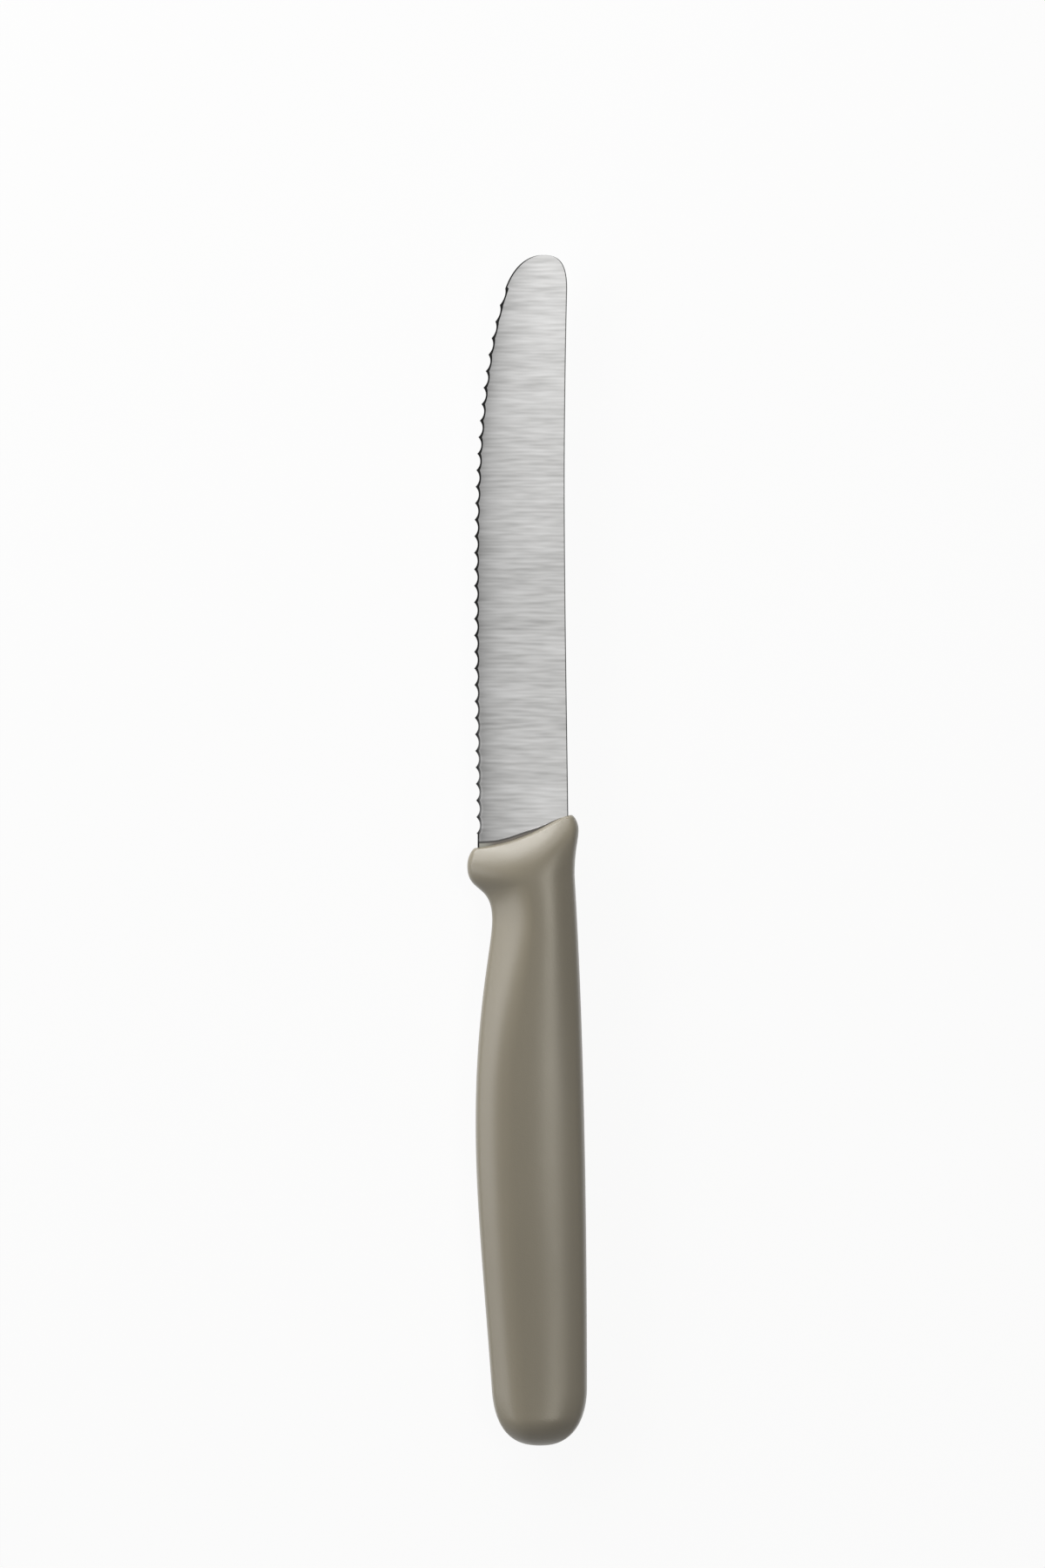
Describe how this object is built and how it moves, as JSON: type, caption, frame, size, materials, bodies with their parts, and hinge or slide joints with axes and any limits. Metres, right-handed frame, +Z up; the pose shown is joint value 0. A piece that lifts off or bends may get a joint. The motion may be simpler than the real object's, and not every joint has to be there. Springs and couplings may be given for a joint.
{
  "type": "serrated utility knife",
  "caption": "Small kitchen knife with a thin straight serrated blade, a rounded tip and a contoured moulded plastic handle with a guard.",
  "frame": {"origin": "middle of the knife's bounding box, at its lowest point, where the handle rests", "axes": "+Y along the blade towards the tip, +Z up, square to the blade's flat; -X is the cutting edge's side and +X the spine's side"},
  "size_m": [0.0222, 0.22, 0.0118],
  "materials": {
    "steel": "cross-brushed stainless steel with a darker ground edge",
    "handle_plastic": "warm grey satin moulded plastic"
  },
  "bodies": {
    "root": {"blade": "steel", "handle": "handle_plastic"}
  },
  "joints": []
}
